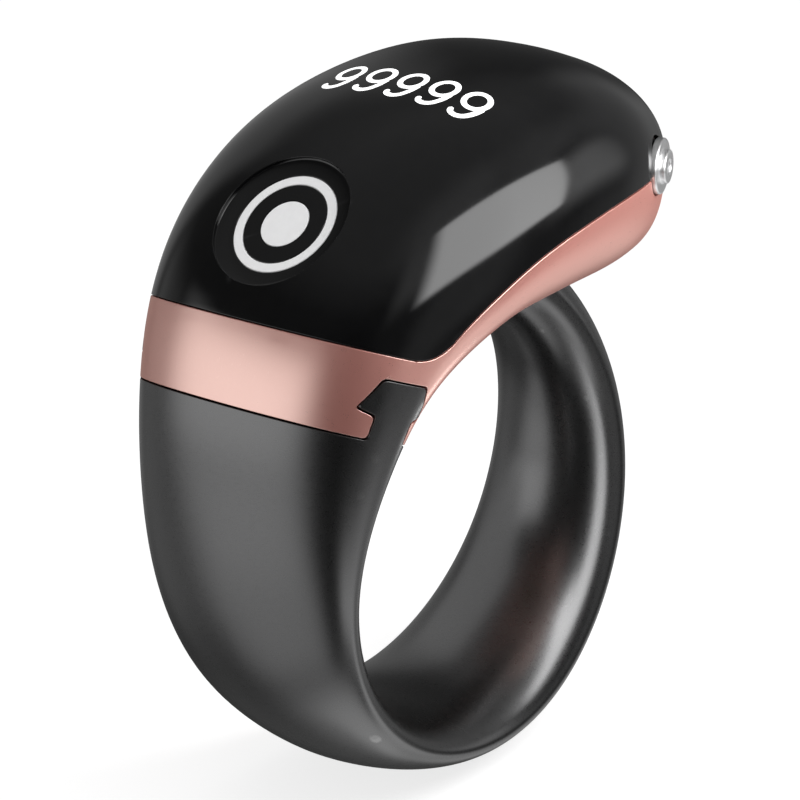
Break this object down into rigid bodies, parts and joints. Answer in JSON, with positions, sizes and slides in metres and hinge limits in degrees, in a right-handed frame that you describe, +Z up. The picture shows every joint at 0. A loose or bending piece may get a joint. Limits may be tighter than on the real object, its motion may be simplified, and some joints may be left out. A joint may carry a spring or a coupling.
{
  "type": "digital finger counter ring",
  "caption": "Finger-worn digital tally counter: glossy black display head with a lit touch key and side button on a rose-gold housing, and a band that slides off.",
  "frame": {"origin": "centre of the finger hole, midway along the finger", "axes": "+Z up from the finger to the head's crown, +Y along the finger, +X towards the nose that overhangs the band"},
  "size_m": [0.0293, 0.0186, 0.0361],
  "materials": {
    "cover": "polished black",
    "housing": "satin rose gold",
    "band": "satin black",
    "mark": "smooth white",
    "silver": "polished",
    "gold": "plated",
    "steel": "plain",
    "rubber": "matte",
    "board": "green laminate",
    "chip": "moulded black",
    "plastic": "moulded dark grey",
    "panel": "dark display face",
    "foam": "foam",
    "flex": "amber film",
    "pouch": "foil",
    "brass": "plain"
  },
  "bodies": {
    "head": {"cover": "cover", "housing": "housing", "key_ring_mark": "mark", "key_dot_mark": "mark", "touch_board": "board", "touch_electrode": "brass", "key_led": "mark", "button_o_ring": "rubber", "switch_body": "plastic", "switch_board": "board", "display_panel": "panel", "display_foam": "foam", "carrier": "plastic", "carrier_screw_front": "steel", "carrier_screw_rear": "steel", "main_board": "board", "microcontroller": "chip", "clock_crystal": "steel", "chip_antenna": "mark", "board_connector": "chip", "battery_tape": "foam", "battery": "pouch", "motor_can": "steel", "motor_base": "plastic", "motor_shaft": "steel", "charge_pad": "plastic", "charge_pin_front": "gold", "charge_pin_rear": "gold", "charge_flex": "flex", "display_flex": "flex", "touch_flex": "flex"},
    "band": {"band": "band"},
    "button": {"button_cap": "silver", "button_clip": "steel"},
    "plunger": {"switch_plunger": "mark"},
    "rotor": {"motor_rotor": "brass"}
  },
  "joints": [
    {"name": "band_slide", "type": "slide", "parent": "head", "child": "band", "axis": [0, -1, 0], "range_m": [0, 0.018]},
    {"name": "button_press", "type": "slide", "parent": "head", "child": "button", "axis": [-0.342, 0.9397, 0], "range_m": [0, 0.0003], "stiffness_N_per_m": 1500, "springref_m": -0.0004},
    {"name": "plunger_press", "type": "slide", "parent": "head", "child": "plunger", "axis": [-0.342, 0.9397, 0], "range_m": [0, 0.0003]},
    {"name": "rotor_spin", "type": "hinge", "parent": "head", "child": "rotor", "pos_m": [0.0083, 0.0009, 0.0153], "axis": [1, 0, 0], "continuous": true}
  ],
  "couplings": [
    {"joint": "plunger_press", "follows": "button_press", "ratio": 1}
  ]
}
